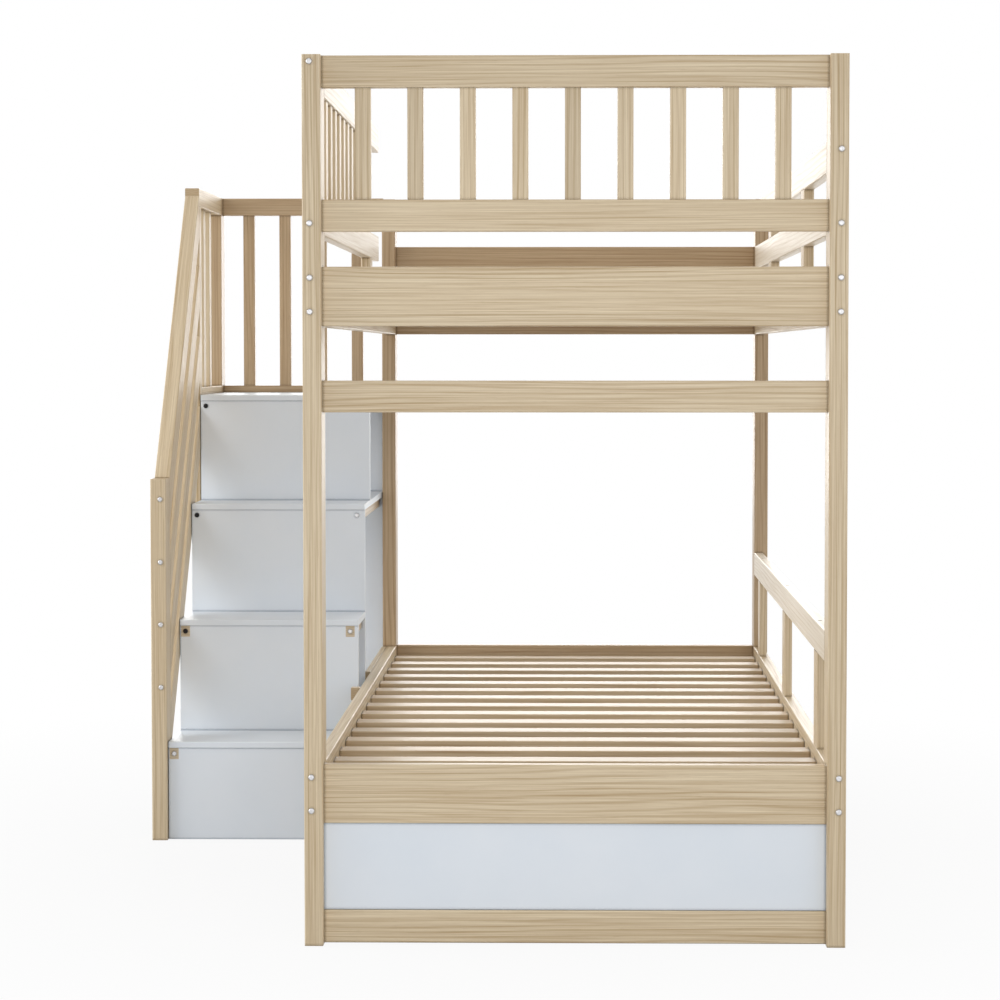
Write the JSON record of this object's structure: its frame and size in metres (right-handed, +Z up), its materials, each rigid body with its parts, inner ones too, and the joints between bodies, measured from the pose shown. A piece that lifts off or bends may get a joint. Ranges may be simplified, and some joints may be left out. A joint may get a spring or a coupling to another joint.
{
  "type": "bunk bed with storage stairs",
  "caption": "Wooden bunk bed with slatted bases, guard rails on the upper bunk and a box staircase with a sloped handrail and open storage under its steps.",
  "frame": {"origin": "on the floor, at the middle of the whole footprint with the stairs", "axes": "+Z up; +Y from the foot end to the head end, along the length of the bed; +X from the stairs to the bed"},
  "size_m": [1.5394, 2.026, 1.7415],
  "materials": {
    "oak_wood": "light oak grain along each board, satin lacquer",
    "white_panel": "cool white paint, satin, on flat panels",
    "slat_wood": "pale plain softwood, lightly sanded",
    "zinc_bolt": "bright zinc plate",
    "black_bolt": "black oxide, satin"
  },
  "bodies": {
    "root": {"back_bottom_rail": "oak_wood", "back_foot_panel": "white_panel", "back_guard_rail": "oak_wood", "back_lower_rail": "oak_wood", "back_top_rail": "oak_wood", "back_upper_rail": "oak_wood", "bed_bolts": "zinc_bolt", "front_bottom_rail": "oak_wood", "front_foot_panel": "white_panel", "front_guard_rail": "oak_wood", "front_lower_rail": "oak_wood", "front_mid_rail": "oak_wood", "front_spindles": "oak_wood", "front_top_rail": "oak_wood", "front_upper_rail": "oak_wood", "left_guard_low_rail": "oak_wood", "left_guard_spindles": "oak_wood", "left_guard_support": "oak_wood", "left_guard_top_rail": "oak_wood", "low_guard_rail": "oak_wood", "low_guard_screws": "black_bolt", "low_guard_supports": "oak_wood", "lower_cleats": "slat_wood", "lower_slats": "slat_wood", "post_back_left": "oak_wood", "post_back_right": "oak_wood", "post_front_left": "oak_wood", "post_front_right": "oak_wood", "railing_corner_post": "oak_wood", "railing_front_post": "oak_wood", "railing_handrail": "oak_wood", "railing_mid_post": "oak_wood", "railing_rear_rails": "oak_wood", "railing_rear_spindles": "oak_wood", "railing_side_rails": "oak_wood", "railing_side_spindles": "oak_wood", "railing_sloped_boards": "oak_wood", "right_guard_low_rail": "oak_wood", "right_guard_supports": "oak_wood", "right_guard_top_rail": "oak_wood", "side_rail_lower_left": "oak_wood", "side_rail_lower_right": "oak_wood", "side_rail_upper_left": "oak_wood", "side_rail_upper_right": "oak_wood", "stair_back_panel": "white_panel", "stair_battens": "oak_wood", "stair_black_bolts": "black_bolt", "stair_bolts": "zinc_bolt", "stair_floor_boards": "white_panel", "stair_riser_1": "white_panel", "stair_riser_2": "white_panel", "stair_riser_3": "white_panel", "stair_riser_4": "white_panel", "stair_tie_block": "oak_wood", "stair_tread_1": "white_panel", "stair_tread_2": "white_panel", "stair_tread_3": "white_panel", "stair_tread_4": "white_panel", "upper_cleats": "slat_wood", "upper_slats": "slat_wood"}
  },
  "joints": []
}
